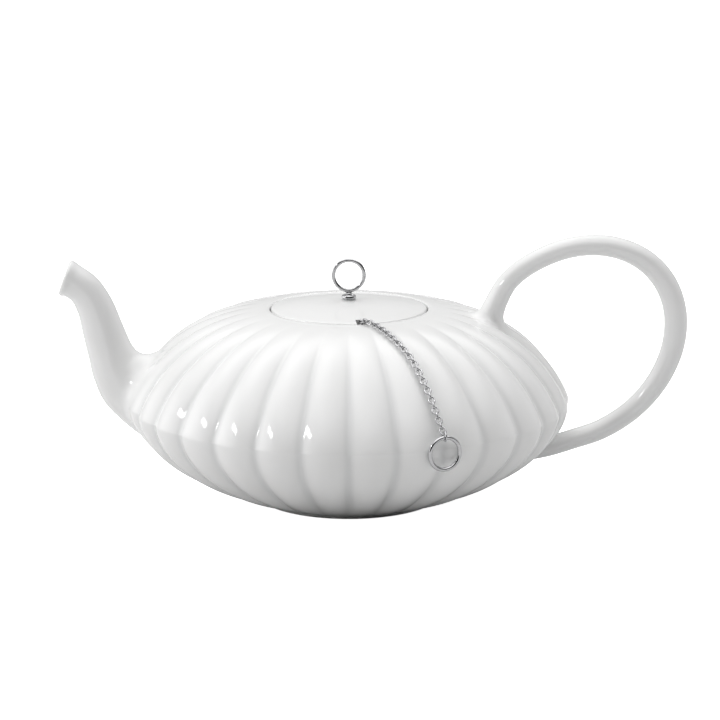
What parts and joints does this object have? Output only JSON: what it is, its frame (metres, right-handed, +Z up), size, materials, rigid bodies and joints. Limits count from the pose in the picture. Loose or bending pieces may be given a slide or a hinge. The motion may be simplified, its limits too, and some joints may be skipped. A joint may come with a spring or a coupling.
{
  "type": "teapot infuser",
  "caption": "Gadrooned white porcelain teapot with a loop handle, a lid with a steel ring knob, and a steel tea infuser on a chain with a pull ring.",
  "frame": {"origin": "on the table plane under the foot ring, at the middle of the whole pot's length, so the pot's own axis is at X = -11.35 mm", "axes": "+Z up, +X from the spout towards the handle, -Y the side that the chain hangs on"},
  "size_m": [0.2839, 0.199, 0.1199],
  "materials": {
    "porcelain": "gloss white glaze",
    "polished_steel": "polished stainless steel",
    "pressed_steel": "satin stainless sheet",
    "silicone": "translucent silicone"
  },
  "bodies": {
    "pot": {"pot_body": "porcelain", "spout": "porcelain", "handle": "porcelain", "chain_link_01": "polished_steel", "chain_link_02": "polished_steel", "chain_link_03": "polished_steel"},
    "lid": {"lid": "porcelain", "knob_seal": "silicone", "knob_cup": "polished_steel", "knob_stud": "polished_steel", "knob_ring": "polished_steel", "lid_gasket": "silicone", "lid_washer": "pressed_steel", "knob_nut": "pressed_steel"},
    "outer_chain": {"chain_link_04": "polished_steel", "chain_link_05": "polished_steel", "chain_link_06": "polished_steel", "chain_link_07": "polished_steel", "chain_link_08": "polished_steel", "chain_link_09": "polished_steel", "chain_link_10": "polished_steel", "chain_link_11": "polished_steel", "chain_link_12": "polished_steel", "chain_link_13": "polished_steel", "chain_link_14": "polished_steel", "chain_link_15": "polished_steel", "chain_link_16": "polished_steel", "chain_link_17": "polished_steel", "chain_link_18": "polished_steel", "chain_link_19": "polished_steel", "chain_link_20": "polished_steel", "chain_link_21": "polished_steel", "chain_link_22": "polished_steel", "chain_link_23": "polished_steel", "chain_link_24": "polished_steel", "chain_link_25": "polished_steel", "chain_link_26": "polished_steel", "chain_link_27": "polished_steel", "chain_link_28": "polished_steel", "chain_link_29": "polished_steel", "chain_link_30": "polished_steel", "chain_link_31": "polished_steel", "chain_link_32": "polished_steel", "chain_link_33": "polished_steel", "chain_link_34": "polished_steel", "chain_link_35": "polished_steel", "chain_link_36": "polished_steel", "pull_jump_ring": "polished_steel"},
    "pull_ring": {"pull_ring": "polished_steel"},
    "inner_chain": {"chain_inner_run": "polished_steel", "infuser_jump_ring": "polished_steel"},
    "infuser": {"infuser_rear_rim": "polished_steel", "infuser_rear_dome": "pressed_steel", "infuser_hinge_pin": "polished_steel", "infuser_eye": "polished_steel"},
    "infuser_front": {"infuser_front_rim": "polished_steel", "infuser_front_dome": "pressed_steel", "infuser_latch": "polished_steel", "infuser_latch_rivet": "polished_steel"}
  },
  "joints": [
    {"name": "lid_lift", "type": "slide", "parent": "pot", "child": "lid", "axis": [0, 0, 1], "range_m": [0, 0.06]},
    {"name": "chain_swing", "type": "hinge", "parent": "pot", "child": "outer_chain", "pos_m": [-0.00544, -0.0341, 0.08772], "axis": [-0.8601, -0.5101, 0], "range_deg": [0, 60]},
    {"name": "pull_ring_swing", "type": "hinge", "parent": "outer_chain", "child": "pull_ring", "pos_m": [0.02893, -0.09255, 0.05073], "axis": [-0.917, -0.399, 0], "range_deg": [0, 75]},
    {"name": "inner_chain_swing", "type": "hinge", "parent": "pot", "child": "inner_chain", "pos_m": [-0.00625, -0.0304, 0.0819], "axis": [1, 0, 0], "range_deg": [0, 12]},
    {"name": "infuser_swing", "type": "hinge", "parent": "inner_chain", "child": "infuser", "pos_m": [-0.00625, -0.0304, 0.0573], "axis": [1, 0, 0], "range_deg": [-8, 20]},
    {"name": "infuser_open", "type": "hinge", "parent": "infuser", "child": "infuser_front", "pos_m": [-0.00625, -0.0279, 0.0544], "axis": [1, 0, 0], "range_deg": [0, 90]}
  ]
}
